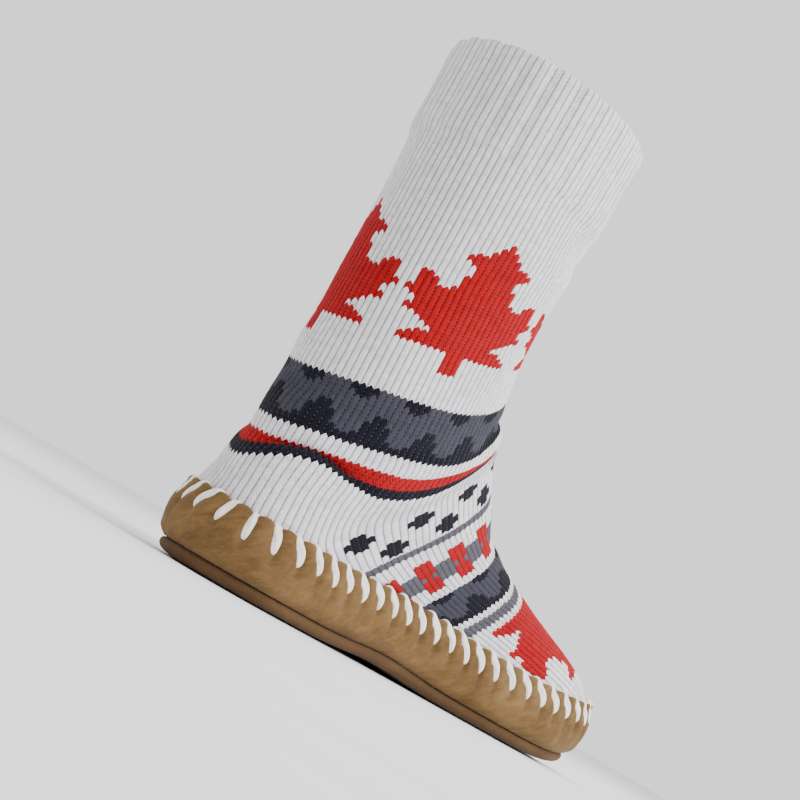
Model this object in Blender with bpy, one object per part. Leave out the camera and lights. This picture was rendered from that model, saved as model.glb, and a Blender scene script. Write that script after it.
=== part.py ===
"""Left slipper boot: a thick knitted sock on a moccasin-like suede bottom.

Run with: blender --background --python part.py
Metres, +Z up. The toe points to -Y, the inner side of the foot is -X, and the floor is z = 0.
The origin is on the floor, under the middle of the whole boot.
"""

import math

import bpy
import numpy as np

# Foot, as the outside of the knitted sock
FOOT_LENGTH = 0.243
BALL_WIDTH = 0.092
HEEL_ROUND = 0.034
TOE_ROUND = 0.062
TOE_LEAN = 0.006
INSTEP_HEIGHT = 0.092
GIRTH_HEIGHT = 0.019
TUCK = 0.06

# Shaft of the sock
BOOT_HEIGHT = 0.240
ANKLE_WIDTH = 0.073
ANKLE_DEPTH = 0.090
COLLAR_WIDTH = 0.083
COLLAR_DEPTH = 0.095
HEEL_TO_ACHILLES = 0.009
CALF_LEAN = 0.004
BEND_ROUND = 0.078
HEEL_BLEND = 0.024
KNIT_WALL = 0.003
CUFF_HEIGHT = 0.040
CUFF_STEP = 0.0012

# Suede bottom
SOLE_THICKNESS = 0.0060
SOLE_ROUND = 0.0085
SEAM_INSET = 0.0010
WALL_HEIGHT = 0.0230
WALL_EDGE = 0.0016
WALL_PADDING = 0.0020
STITCH_COUNT = 60
SCALLOP = 0.0013
INSOLE_THICKNESS = 0.0040
TOE_SPRING = 0.0050
TOE_SPRING_LENGTH = 0.070
ARCH_RISE = 0.0025
FIT = 0.0003

# Share of the foot's length from the heel, half-widths as shares of the ball width, the top's height as a share of
# the instep's, and the exponent of the dome over that section (2 is an ellipse, more is boxier).
FOOT_SECTIONS = (
    # share, inner, outer, top, dome
    (0.00, 0.345, 0.345, 0.88, 2.2),
    (0.14, 0.358, 0.368, 0.92, 2.2),
    (0.30, 0.345, 0.395, 1.00, 2.1),
    (0.44, 0.345, 0.435, 0.96, 2.0),
    (0.58, 0.400, 0.495, 0.79, 2.1),
    (0.70, 0.465, 0.520, 0.665, 2.2),
    (0.82, 0.475, 0.490, 0.565, 2.4),
    (1.00, 0.450, 0.430, 0.455, 2.6),
)
# Share of the boot's height, how far the shaft's size has gone from ankle (0) to collar (1), and the same for its lean.
SHAFT_SECTIONS = (
    # height, growth, lean
    (0.00, -0.85, -1.0),
    (0.14, -0.55, -0.7),
    (0.28, -0.18, -0.2),
    (0.43, 0.00, 0.00),
    (0.58, 0.18, 0.12),
    (0.74, 0.52, 0.46),
    (0.88, 0.86, 0.82),
    (1.00, 1.00, 1.00),
)
# Levels of the sock's wall, as shares of the way from the suede's edge up to the cuff.
UPPER_LEVELS = (
    0.022, 0.038, 0.054, 0.071, 0.090, 0.110, 0.134, 0.162, 0.192, 0.226,
    0.265, 0.306, 0.352, 0.404, 0.465, 0.540, 0.640, 0.800,
)
# Height on the side wall as a share of WALL_HEIGHT, and its padding there as a share of WALL_PADDING.
WALL_SECTIONS = (
    # height, padding
    (0.00, 0.00),
    (0.14, 0.60),
    (0.40, 1.00),
    (0.70, 0.72),
    (1.00, 0.00),
)

UPPER_TURNS = 60
SOLE_TURNS = 72
TURNS_PER_STITCH = 3
RUNG_STEPS = 4


def smooth(table, column, share):
    """Cubic curve through one column of a table whose first column is the share."""
    xs = np.array([row[0] for row in table])
    ys = np.array([row[column] for row in table])
    slopes = np.gradient(ys, xs)
    share = np.clip(share, xs[0], xs[-1])
    i = np.clip(np.searchsorted(xs, share, "right") - 1, 0, len(xs) - 2)
    h = xs[i + 1] - xs[i]
    t = (share - xs[i]) / h
    ends = (1 + 2 * t) * (1 - t) ** 2 * ys[i] + t * t * (3 - 2 * t) * ys[i + 1]
    return ends + h * (t * (1 - t) ** 2 * slopes[i] + t * t * (t - 1) * slopes[i + 1])


def ease(t):
    """0 to 1 with level ends."""
    t = np.clip(t, 0, 1)
    return t * t * (3 - 2 * t)


def round_end(depth, power):
    """1 inside, falling to 0 as depth goes from 1 past the start of a rounded end to its tip at 0."""
    return (1 - (1 - np.clip(depth, 0, 1)) ** power) ** (1 / power)


def foot_section(y):
    """Centre, inner and outer half-width, top height and dome exponent of the foot at y, with rounded ends."""
    share = -y / FOOT_LENGTH
    heel = round_end(-y / HEEL_ROUND, 2.0)
    toe = round_end((FOOT_LENGTH + y) / TOE_ROUND, 2.3)
    ends = np.maximum(heel * toe, 1e-3)
    lean = -TOE_LEAN * ease((share - 0.55) / 0.45)
    inner = smooth(FOOT_SECTIONS, 1, share) * BALL_WIDTH * ends
    outer = smooth(FOOT_SECTIONS, 2, share) * BALL_WIDTH * ends
    top = smooth(FOOT_SECTIONS, 3, share) * INSTEP_HEIGHT
    top = GIRTH_HEIGHT + (top - GIRTH_HEIGHT) * ends
    return lean, inner, outer, top, smooth(FOOT_SECTIONS, 4, share)


def foot_field(x, y, z):
    """Below 0 inside the foot, above 0 outside, about in metres."""
    centre, inner, outer, top, dome = foot_section(y)
    rise = np.maximum(0, z - GIRTH_HEIGHT) / (top - GIRTH_HEIGHT)
    centre = centre - 0.05 * BALL_WIDTH * np.minimum(rise, 1) ** 2
    sag = np.maximum(0, GIRTH_HEIGHT - z) / GIRTH_HEIGHT
    half = np.where(x < centre, inner, outer) * (1 - TUCK * sag**2)
    reach = (np.abs((x - centre) / half) ** dome + rise**dome) ** (1 / dome)
    outside = np.maximum(np.maximum(y, -FOOT_LENGTH - y), 0)
    return (reach - 1) * np.sqrt(half * (top - GIRTH_HEIGHT)) + outside


def shaft_section(z):
    """Centre along Y, half-depth and half-width of the shaft at height z."""
    share = z / BOOT_HEIGHT
    growth = smooth(SHAFT_SECTIONS, 1, share)
    depth = ANKLE_DEPTH + growth * (COLLAR_DEPTH - ANKLE_DEPTH)
    width = ANKLE_WIDTH + growth * (COLLAR_WIDTH - ANKLE_WIDTH)
    back = -HEEL_TO_ACHILLES + smooth(SHAFT_SECTIONS, 2, share) * CALF_LEAN
    return back - depth / 2, depth / 2, width / 2


def shaft_field(x, y, z):
    centre, depth, width = shaft_section(z)
    return (np.hypot(x / width, (y - centre) / depth) - 1) * np.sqrt(width * depth)


def sock_field(x, y, z):
    """Foot and shaft joined with a soft hollow, widest at the bend, where the instep meets the shin.
    Low down the shaft draws in, so that only the foot shapes the suede bottom."""
    foot, shaft = foot_field(x, y, z), shaft_field(x, y, z)
    shaft = shaft + HEEL_TO_ACHILLES * (1 - ease((z - GIRTH_HEIGHT) / (0.5 * INSTEP_HEIGHT)))
    front = ease((-y - 0.25 * ANKLE_DEPTH) / (0.75 * ANKLE_DEPTH))
    risen = ease((z - GIRTH_HEIGHT) / (INSTEP_HEIGHT - GIRTH_HEIGHT))
    sides = ease(np.abs(x) / (0.5 * ANKLE_WIDTH))
    blend = (HEEL_BLEND + (BEND_ROUND - HEEL_BLEND) * front) * np.maximum(risen * (1 - 0.6 * sides), 0.01)
    mix = np.clip(0.5 + 0.5 * (shaft - foot) / blend, 0, 1)
    return shaft * (1 - mix) + foot * mix - blend * mix * (1 - mix)


def zero_along(field, near, far, steps=44):
    """The share of the way from near (inside) to far (outside) where field is 0, by halving."""
    low, high = np.zeros(len(near)), np.ones(len(near))
    for _ in range(steps):
        middle = (low + high) / 2
        inside = field(*(near + (far - near) * middle[:, None]).T) < 0
        low, high = np.where(inside, middle, low), np.where(inside, high, middle)
    return (low + high) / 2


def reach_at(height):
    """Front and back of the sock along Y at that height, on its middle line."""
    y = np.linspace(-FOOT_LENGTH, 0, 600)
    inside = y[sock_field(foot_section(y)[0], y, np.full_like(y, height)) < 0]
    return inside.min(), inside.max()


def loop_at_angles(height, angle):
    """Points where rays at these angles leave the sock at one height. Angle 0 is the toe, a quarter turn outer."""
    front, back = reach_at(height)
    centre = np.array([foot_section(np.array((front + back) / 2))[0], (front + back) / 2, height])
    long, wide = (back - front) / 2, BALL_WIDTH / 2
    ray = np.stack([wide * np.sin(angle), -long * np.cos(angle), 0 * angle], 1)
    near = np.repeat(centre[None], len(angle), 0)
    far = near + 1.6 * ray
    return near + (far - near) * zero_along(sock_field, near, far)[:, None]


def even_angles(turns):
    """Angles of rays that meet the sock at even steps, one after another, where the suede's edge lies."""
    fine = np.linspace(0, 2 * math.pi, 721)
    edge = loop_at_angles(SOLE_THICKNESS + FIT + WALL_HEIGHT, fine)
    walked = np.concatenate([[0], np.cumsum(np.linalg.norm(np.diff(edge, axis=0), axis=1))])
    return np.interp(np.arange(turns) / turns * walked[-1], walked, fine)


def sock_loop(height, turns, out=0.0):
    """Points round the outside of the sock at one height, from the toe's tip by the outer side to the heel and back.
    out moves them square to that outline."""
    points = loop_at_angles(height, even_angles(turns))
    return points + out * outline_normals(points)


def outline_normals(points):
    """Level directions square to a closed loop, pointing out."""
    along = np.roll(points, -1, 0) - np.roll(points, 1, 0)
    normal = np.stack([along[:, 1], -along[:, 0], 0 * along[:, 0]], 1)
    return normal / np.linalg.norm(normal, axis=1)[:, None]


def lift(points):
    """Bends what lies near the floor up at the toe and under the arch."""
    moved = points.copy()
    share = -points[:, 1] / FOOT_LENGTH
    to_tip = (TOE_SPRING_LENGTH - (points[:, 1] + FOOT_LENGTH)) / TOE_SPRING_LENGTH
    moved[:, 2] += TOE_SPRING * np.clip(to_tip, 0, 1) ** 2
    arch = ease(1 - np.abs(share - 0.41) / 0.18) * ease((0.3 * BALL_WIDTH - points[:, 0]) / (0.7 * BALL_WIDTH))
    fade = 1 - ease((points[:, 2] - SOLE_THICKNESS) / (3 * GIRTH_HEIGHT))
    moved[:, 2] += ARCH_RISE * arch * fade
    return moved


def ring_faces(turns, lower, upper):
    """Quads between two loops of the same number of points, given by their first indices."""
    return [
        (lower + i, lower + (i + 1) % turns, upper + (i + 1) % turns, upper + i)
        for i in range(turns)
    ]


def closed_band(loops):
    """A ring-shaped solid whose section is the closed chain of these loops."""
    turns = len(loops[0])
    faces = []
    for k in range(len(loops)):
        faces += ring_faces(turns, k * turns, (k + 1) % len(loops) * turns)
    return np.concatenate(loops), faces


def closed_pad(loops):
    """A solid whose section is this chain of loops, with both ends filled by rungs from side to side."""
    turns = len(loops[0])
    points = list(np.concatenate(loops))
    faces = []
    for k in range(len(loops) - 1):
        faces += ring_faces(turns, k * turns, (k + 1) * turns)
    for first, downward in ((0, True), ((len(loops) - 1) * turns, False)):
        rungs = [[first] * (RUNG_STEPS + 1)]
        for i in range(1, turns // 2):
            left, right = first + turns - i, first + i
            between = range(len(points), len(points) + RUNG_STEPS - 1)
            for k in range(1, RUNG_STEPS):
                points.append(points[left] + (points[right] - points[left]) * k / RUNG_STEPS)
            rungs.append([left, *between, right])
        rungs.append([first + turns // 2] * (RUNG_STEPS + 1))
        for front, back in zip(rungs, rungs[1:]):
            for k in range(RUNG_STEPS):
                halves = ((front[k], front[k + 1], back[k]), (front[k + 1], back[k + 1], back[k]))
                for half in halves:
                    if len(set(half)) == 3:
                        faces.append(half[::-1] if downward else half)
    return np.array(points), faces


def material(name, colour, roughness):
    made = bpy.data.materials.new(name)
    made.use_nodes = True
    shader = made.node_tree.nodes["Principled BSDF"]
    shader.inputs["Base Color"].default_value = (*colour, 1)
    shader.inputs["Roughness"].default_value = roughness
    shader.inputs["Metallic"].default_value = 0.0
    made.diffuse_color = (*colour, 1)
    return made


def add_solid(name, points, faces, finish, origin):
    mesh = bpy.data.meshes.new(name)
    mesh.from_pydata((lift(points) - origin).tolist(), [], faces)
    mesh.validate()
    mesh.shade_smooth()
    mesh.set_sharp_from_angle(angle=math.radians(50))
    mesh.materials.append(finish)
    solid = bpy.data.objects.new(name, mesh)
    bpy.context.scene.collection.objects.link(solid)
    return solid


def moved_out(loops, distances, level_rows):
    """The same loops moved square to their surface, a distance for each. The rows named keep their heights."""
    grid = np.stack(loops)
    around = np.roll(grid, -1, 1) - np.roll(grid, 1, 1)
    normal = np.cross(around, np.gradient(grid, axis=0))
    normal /= np.linalg.norm(normal, axis=2)[:, :, None]
    moved = grid + normal * np.array(distances)[:, None, None]
    for row in level_rows:
        moved[row, :, 2] = grid[row, :, 2]
    return list(moved)


def upper():
    """The sock: one wall, open at the collar and underneath, with the cuff as a step in it."""
    cuff = BOOT_HEIGHT - CUFF_HEIGHT
    heights = [SOLE_THICKNESS + FIT + share * WALL_HEIGHT for share, _ in WALL_SECTIONS]
    edge = heights[-1]
    heights += [edge + SCALLOP] + [edge + share * (cuff - edge) for share in UPPER_LEVELS]
    heights += [cuff, cuff, BOOT_HEIGHT]
    steps = [0.0] * (len(heights) - 2) + [CUFF_STEP, CUFF_STEP]
    outside = [sock_loop(z, UPPER_TURNS, step) for z, step in zip(heights, steps)]
    plain = [sock_loop(z, UPPER_TURNS) for z in heights[:-2] + heights[-1:]]
    inside = moved_out(plain, [-KNIT_WALL] * len(plain), (0, -1))
    return closed_band(outside + inside[::-1])


def side_wall():
    """The suede wall: padded at mid height, drawn in at its edge, which rises between the whip stitches."""
    turns = STITCH_COUNT * TURNS_PER_STITCH
    rise = 0.5 - 0.5 * np.cos(2 * math.pi * np.arange(turns) / TURNS_PER_STITCH)
    skins = [sock_loop(SOLE_THICKNESS + FIT + share * WALL_HEIGHT, turns) for share, _ in WALL_SECTIONS]
    peaks = sock_loop(SOLE_THICKNESS + FIT + WALL_HEIGHT + SCALLOP, turns)
    skins[-1] += (peaks - skins[-1]) * rise[:, None]
    thickness = [WALL_EDGE + padding * WALL_PADDING for _, padding in WALL_SECTIONS]
    thickness[0] -= SEAM_INSET
    inner = moved_out(skins, [FIT] * len(skins), (0,))
    outer = moved_out(skins, [FIT + wall for wall in thickness], (0,))
    return closed_band(outer + inner[::-1])


def outsole():
    """The padded sole: flat below, with its edge rounded up to the seam under the side wall."""
    rim = sock_loop(SOLE_THICKNESS, SOLE_TURNS, FIT + WALL_EDGE - SEAM_INSET)
    normals = outline_normals(rim)
    loops = []
    for step in range(5):
        angle = math.radians(22.5 * step)
        loop = rim - SOLE_ROUND * (1 - math.sin(angle)) * normals
        loop[:, 2] = SOLE_THICKNESS * (1 - math.cos(angle))
        loops.append(loop)
    loops.append(insole_outline(SOLE_THICKNESS))
    return closed_pad(loops)


def insole_outline(height):
    loop = sock_loop(SOLE_THICKNESS, SOLE_TURNS, -(KNIT_WALL + 2 * FIT))
    loop[:, 2] = height
    return loop


def insole():
    """The soft pad inside the sock, on the sole."""
    low = SOLE_THICKNESS + FIT
    return closed_pad([insole_outline(low), insole_outline(low + INSOLE_THICKNESS)])


def build():
    for thing in list(bpy.data.objects):
        bpy.data.objects.remove(thing)
    yarn = material("knit", (0.86, 0.85, 0.84), 0.95)
    suede = material("suede", (0.36, 0.24, 0.12), 0.90)
    pad = material("sole_cloth", (0.11, 0.055, 0.035), 0.80)
    fleece = material("fleece", (0.74, 0.71, 0.66), 0.95)
    pieces = (
        ("upper", upper(), yarn),
        ("side_wall", side_wall(), suede),
        ("outsole", outsole(), pad),
        ("insole", insole(), fleece),
    )
    every = np.concatenate([points for _, (points, _), _ in pieces])
    middle = (every.min(0) + every.max(0)) / 2
    origin = np.array([middle[0], middle[1], 0.0])
    for name, (points, faces), finish in pieces:
        add_solid(name, points, faces, finish, origin)


build()
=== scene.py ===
"""Left slipper boot: a jacquard-knit sock, a whipstitched suede wall, a padded sole and a fleece pad.

Metres, +Z up. The toe points to -Y, the inner side of the foot is -X, and the floor is z = 0.
"""

import math

import bmesh
import bpy
import numpy as np
from mathutils import Matrix, Vector
from mathutils.bvhtree import BVHTree


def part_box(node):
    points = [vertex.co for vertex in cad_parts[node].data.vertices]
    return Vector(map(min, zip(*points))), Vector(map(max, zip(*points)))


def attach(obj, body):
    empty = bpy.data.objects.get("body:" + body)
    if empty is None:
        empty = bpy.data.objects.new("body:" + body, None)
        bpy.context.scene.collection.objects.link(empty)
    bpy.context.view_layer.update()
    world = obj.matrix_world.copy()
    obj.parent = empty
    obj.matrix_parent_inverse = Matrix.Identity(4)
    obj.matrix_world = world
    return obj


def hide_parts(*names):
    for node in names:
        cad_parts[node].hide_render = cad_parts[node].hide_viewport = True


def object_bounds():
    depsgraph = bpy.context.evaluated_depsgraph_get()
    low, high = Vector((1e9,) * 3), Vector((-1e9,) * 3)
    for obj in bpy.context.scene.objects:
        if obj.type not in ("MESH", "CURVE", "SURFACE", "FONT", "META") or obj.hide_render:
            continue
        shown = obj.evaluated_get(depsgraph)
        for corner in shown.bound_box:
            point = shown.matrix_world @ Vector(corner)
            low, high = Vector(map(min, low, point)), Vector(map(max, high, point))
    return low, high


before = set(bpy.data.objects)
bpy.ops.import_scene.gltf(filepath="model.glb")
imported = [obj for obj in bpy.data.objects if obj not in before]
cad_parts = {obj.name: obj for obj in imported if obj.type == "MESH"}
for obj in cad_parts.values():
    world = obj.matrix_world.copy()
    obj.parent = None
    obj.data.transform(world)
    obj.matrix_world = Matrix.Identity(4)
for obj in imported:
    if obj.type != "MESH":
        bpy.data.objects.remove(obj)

CAD_LOW, CAD_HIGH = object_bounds()
MM = 0.001
MERGE_DISTANCE = 0.001 * MM

# The tables below were drawn on a boot of this size, and are stretched to the frame's.
DRAWN_LENGTH = 250.8 * MM
DRAWN_HEIGHT = 240.0 * MM

# Knitting
WALES = 96
COLUMNS_PER_WALE = 4
ROWS_PER_COURSE = 2
RIB_HEIGHT = 0.45 * MM
CUFF_RIB_HEIGHT = 0.9 * MM
CHEVRON = 0.45
KNIT_WALL = 3.0 * MM
UNEVENNESS = 0.55 * MM
HIDDEN_DEPTH = 7 * MM
RAYS = 192
RAY_REACH = 0.2
SPINE_SHARE = 0.55
SOCK_BOTTOM = 6.3 * MM
COURSE_SOFTNESS = 2.2
ROUND_SOFTNESS = 5.0

# Each band of the sock from the cuff to the toe: its number of courses, and where its last course meets the
# front and the back of the sock in side view. From the heel on, the second point is about at the suede's edge.
BANDS = (
    # band, courses, front y, front z, rear y, rear z
    ("collar", 0, 20.3, 240, 117.3, 240),
    ("cuff", 28, 21.5, 200, 115.0, 200),
    ("plain", 22, 20.8, 184, 113.6, 166),
    ("leaf", 42, 14.0, 138, 112.1, 103),
    ("plain", 8, 12.0, 131.5, 112.1, 91),
    ("wave", 14, 6.8, 118, 114.0, 66),
    ("plain", 4, 5.2, 114.5, 114.8, 59.5),
    ("red", 4, 3.5, 111.5, 116.0, 52.5),
    ("navy", 3, 2.2, 109, 117.5, 46),
    ("heel", 22, 1.9, 108.5, 85.0, 30),
    ("diamonds", 16, -6.4, 95.3, 60.0, 30),
    ("grey", 3, -8.4, 92.6, 57.0, 30),
    ("plain", 4, -10.8, 89.3, 46.0, 30),
    ("blocks", 14, -20.2, 77.3, 26.0, 30),
    ("plain", 3, -22.0, 75.3, 21.0, 30),
    ("wave", 14, -34.5, 67.0, 1.0, 30),
    ("plain", 2, -36.7, 66.0, -4.0, 30),
    ("grey", 3, -40.4, 64.2, -10.0, 30),
    ("plain", 2, -43.2, 63.2, -14.0, 30),
    ("toe_leaf", 36, -97.0, 44.7, -90.0, 32),
    ("plain", 14, -120.5, 27.0, -119.5, 24),
)
# Around the heel the courses dip at the sides of the ankle: by how many courses, at the course named.
DIPS = (
    # band whose end it is, occurrence, courses
    ("collar", 0, 0.0),
    ("plain", 0, 0.0),
    ("leaf", 0, 3.0),
    ("plain", 1, 5.0),
    ("wave", 0, 9.0),
    ("navy", 0, 13.0),
    ("heel", 0, 0.0),
    ("toe_leaf", 0, 0.0),
)

WAVE_CHART = (
    "NNNNGGGG", "NNNNGGGG", "GNNGGGGG", "GGGGGGGG", "GGGGGGGG", "GGGGGGGG", "GGGGGNNG",
    "GGGGGNNG", "GGGGNNNN", "GGGGNNNN", "GGGGNNNN", "NGGNNNNN", "NNNNNNNN", "NNNNNNNN",
)
DIAMOND_CHART = (
    "wwwNNwww", "wwwNNwww", "wwNNNNww", "wwNNNNww", "wwNNNNww", "wwwNNwww", "wwwNNwww", "wwwwwwww",
    "NwwwwwwN", "NwwwwwwN", "NNwwwwNN", "NNwwwwNN", "NNwwwwNN", "NwwwwwwN", "NwwwwwwN", "wwwwwwww",
)
BLOCK_CHART = (
    "wRRRww", "wRRRww", "wRRRww", "gRRRgg", "gRRRgg", "gRRRgg", "ggRggg",
    "ggRggg", "gRRRgg", "gRRRgg", "gRRRgg", "wRRRww", "wRRRww", "wRRRww",
)
CHARTS = {"wave": WAVE_CHART, "diamonds": DIAMOND_CHART, "blocks": BLOCK_CHART}
# Half of a leaf, from its middle wale out, its point first and its stem last.
LEAF_CHART = (
    "Rwwwwwwwwwww", "Rwwwwwwwwwww", "RRwwwwwwwwww", "RRwwwwwwwwww", "RRRwwwwwwwww", "RRRwwwwwwwww",
    "RRRRRwwwwwww", "RRRRRRwwwwww", "RRRRRRwwwwww", "RRRRRwwwwwww", "RRRRwwwwwwww", "RRRRwwwwwwww",
    "RRRRwwwwwwww", "RRRRRwwwwwww", "RRRRRwwwwwww", "RRRRRwwwwRRw", "RRRRRwwwRRRw", "RRRRRRwwRRRw",
    "RRRRRRRRRRRw", "RRRRRRRRRRRw", "RRRRRRRRRRRR", "RRRRRRRRRRRR", "RRRRRRRRRRRw", "RRRRRRRRRRww",
    "RRRRRRRRRRww", "RRRRRRRRRRRw", "RRRRRRRRRRRw", "RRRRRRRRRwww", "RRRRRRRRwwww", "RRRRRRRwwwww",
    "RRRRRRwwwwww", "RRRRRRRRwwww", "RRRRRRRRRwww", "RRRRRRRRRRww", "RRRRRRRRRRww", "RRwwwwwwwwww",
    "RRwwwwwwwwww", "RRwwwwwwwwww", "RRwwwwwwwwww", "RRwwwwwwwwww", "RRwwwwwwwwww", "wwwwwwwwwwww",
)
LEAF_PITCH = 24
LEAF_CENTRE = 19
TOE_LEAF_CENTRE = 12
STEM_COURSES = 7

# Soft folds of the empty sock, by course and wale (wale 0 is the middle of the front, 48 that of the back).
# Each is a trough with a ridge on its lower side. The lip is how far the ridge rolls back over the trough.
FOLDS = (
    # course, wale, courses per wale, half length (wales), half width (courses), depth (mm), lip (courses)
    (121.0, 57.0, 0.14, 12.0, 2.6, 4.6, 5.0),
    (112.0, 68.0, -0.25, 10.0, 3.2, 1.5, 0.8),
    (104.0, 50.0, 0.12, 12.0, 3.6, 1.3, 0.4),
    (118.0, 37.0, 0.15, 10.0, 3.0, 2.0, 1.4),
    (131.0, 46.0, 0.05, 9.0, 3.6, 1.2, 0.6),
    (101.0, 2.0, 0.06, 13.0, 4.6, 1.4, 0.6),
    (110.0, 92.0, -0.05, 14.0, 4.2, 2.0, 1.0),
    (124.0, 96.0, 0.04, 13.0, 4.2, 1.8, 1.0),
    (165.0, 3.0, 0.05, 12.0, 5.0, 1.4, 0.4),
    (183.0, 93.0, -0.05, 11.0, 5.0, 1.1, 0.2),
    (66.0, 60.0, 0.30, 16.0, 6.0, 0.9, 0.0),
    (84.0, 34.0, -0.25, 15.0, 6.0, 0.9, 0.0),
    (42.0, 84.0, 0.20, 16.0, 7.0, 0.8, 0.0),
)
STITCH_WANDER = 0.13
STITCH_LUMPS = 0.07 * MM

# Suede wall and its stitches
STITCHES = 60
COLUMNS_PER_STITCH = 14
EDGE_THICKNESS = 2.3 * MM
WALL_SHARES = (0.03, 0.14, 0.27, 0.40, 0.55, 0.70, 0.85, 0.96)
WALL_ROWS = 26
EDGE_ROWS = 9
EDGE_DIP = 2.0 * MM
PUCKER = 1.1 * MM
BULGE = 1.0 * MM
SEAM_TUCK = 1.7 * MM
WALL_UNEVENNESS = 0.35 * MM
WALL_WAVES = 13
STITCH_DEPTH = 10.0 * MM
STITCH_SWEEP = 3.2 * MM
STITCH_CURL = 2.6 * MM
STITCH_LEAD = 4.6 * MM
YARN_WIDTH = 4.3 * MM
YARN_HEIGHT = 2.3 * MM
PATH_SMOOTHING = 7
# How the stitches lean as they go down, by the turn round the foot: 0 at the toe, 90 at the outer side, 180 at
# the heel. A positive lean goes on with the turn.
LEANS = (
    # turn in degrees, share of the full lean
    (0, 0.5), (14, 0.0), (40, -0.8), (150, -1.0), (186, -0.8), (204, 0.0), (230, 0.9), (270, 1.0),
    (335, 0.8), (360, 0.5),
)

# Sole and pad
SOLE_THICKNESS = 6.0 * MM
SOLE_CLOTH_RISE = 0.35 * MM
SOLE_ROUNDING = (
    # inset from the rim in mm, share of the thickness below the seam
    (5.0, 0.05), (1.9, 0.0), (0.7, 0.08), (0.1, 0.24), (0.0, 0.42), (0.5, 0.62), (1.6, 0.79), (3.3, 0.91),
    (5.6, 0.98), (8.4, 1.0),
)
DOT_SPACING = 8.5 * MM
DOT_RADIUS = 0.95 * MM
RUNGS = 150
RUNG_STEPS = 36


def srgb(*levels):
    """Linear colour from one written in 0 to 255."""
    return tuple(c / 255 / 12.92 if c <= 10 else ((c / 255 + 0.055) / 1.055) ** 2.4 for c in levels)


YARN_COLOURS = {
    "w": srgb(233, 230, 232),
    "R": srgb(166, 8, 16),
    "N": srgb(19, 19, 30),
    "g": srgb(86, 85, 92),
    "G": srgb(62, 61, 71),
}


def ease(t):
    """0 to 1 with level ends."""
    t = np.clip(t, 0, 1)
    return t * t * (3 - 2 * t)


def flow(xs, ys, x):
    """Cubic curve through points that never overshoots them."""
    xs, ys = np.asarray(xs, float), np.asarray(ys, float)
    steps, rises = np.diff(xs), np.diff(ys)
    slope = rises / steps
    before, after = slope[:-1], slope[1:]
    inner = np.where(before * after > 0, 2 * before * after / (before + after + 1e-30), 0)
    tangent = np.concatenate([[slope[0]], inner, [slope[-1]]])
    i = np.clip(np.searchsorted(xs, x, "right") - 1, 0, len(xs) - 2)
    t = (x - xs[i]) / steps[i]
    ends = ys[i] + (3 - 2 * t) * t * t * rises[i]
    return ends + steps[i] * (t * (1 - t) ** 2 * tangent[i] - t * t * (1 - t) * tangent[i + 1])


def soften(values, sigma, around):
    """Gaussian smoothing along the first axis. Open ends stay where they are, and a ring runs on around."""
    reach = int(math.ceil(3 * sigma))
    weights = np.exp(-0.5 * (np.arange(-reach, reach + 1) / sigma) ** 2)
    weights /= weights.sum()
    if around:
        padded = np.concatenate([values[-reach:], values, values[:reach]])
    else:
        before = 2 * values[:1] - values[reach:0:-1]
        after = 2 * values[-1:] - values[-2:-reach - 2:-1]
        padded = np.concatenate([before, values, after])
    return sum(weight * padded[i:i + len(values)] for i, weight in enumerate(weights))


def tree_of(node):
    """Ray tracing structure of one piece of the frame."""
    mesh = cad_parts[node].data
    return BVHTree.FromPolygons([v.co for v in mesh.vertices], [p.vertices for p in mesh.polygons])


def hits(tree, starts, ends):
    """Where rays from starts to ends first meet the tree, and nan where they miss it."""
    starts, ends = np.broadcast_arrays(starts, ends)
    found = np.full(starts.shape, np.nan)
    for i in np.ndindex(starts.shape[:-1]):
        start, end = Vector(starts[i]), Vector(ends[i])
        place = tree.ray_cast(start, (end - start).normalized(), (end - start).length)[0]
        if place is not None:
            found[i] = place
    return found


def make_piece(name, points, faces, finish, merge=False):
    """A smooth mesh piece that rides with the boot. merge joins points that lie in one place."""
    mesh = bpy.data.meshes.new(name)
    mesh.from_pydata(np.asarray(points, float).reshape(-1, 3).tolist(), [], faces)
    if merge:
        shape = bmesh.new()
        shape.from_mesh(mesh)
        bmesh.ops.remove_doubles(shape, verts=shape.verts, dist=MERGE_DISTANCE)
        shape.to_mesh(mesh)
        shape.free()
    mesh.update()
    mesh.shade_smooth()
    mesh.materials.append(finish)
    piece = bpy.data.objects.new(name, mesh)
    bpy.context.scene.collection.objects.link(piece)
    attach(piece, "root")
    return piece


def grid_faces(rows, columns, around=True, keep=None, flip=False):
    """Quads of a grid of points, row after row. They face out where the rows go down and the columns go round
    from the toe by the outer side, and the other way with flip. keep marks the quads that stay."""
    across = np.arange(columns if around else columns - 1)
    i, j = np.meshgrid(np.arange(rows - 1), across, indexing="ij")
    after = (j + 1) % columns
    here, below = i * columns, (i + 1) * columns
    quads = np.stack([here + j, below + j, below + after, here + after], -1)
    if flip:
        quads = quads[..., ::-1]
    if keep is not None:
        quads = quads[keep]
    return quads.reshape(-1, 4)


# Knitted sock

def course_of(band, occurrence=0):
    """The course at which a band ends."""
    total = 0
    for name, courses, *_ in BANDS:
        total += courses
        if name == band:
            if occurrence == 0:
                return total
            occurrence -= 1
    raise ValueError(band)


COURSES = sum(row[1] for row in BANDS)


def side_points(courses):
    """Front and rear point in side view of the plane in which each course lies."""
    ends = np.cumsum([row[1] for row in BANDS])
    long = (CAD_HIGH.y - CAD_LOW.y) / DRAWN_LENGTH * MM
    tall = CAD_HIGH.z / DRAWN_HEIGHT * MM
    columns = [flow(ends, [row[k] for row in BANDS], courses) for k in (2, 3, 4, 5)]
    return [column * scale for column, scale in zip(columns, (long, tall, long, tall))]


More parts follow.
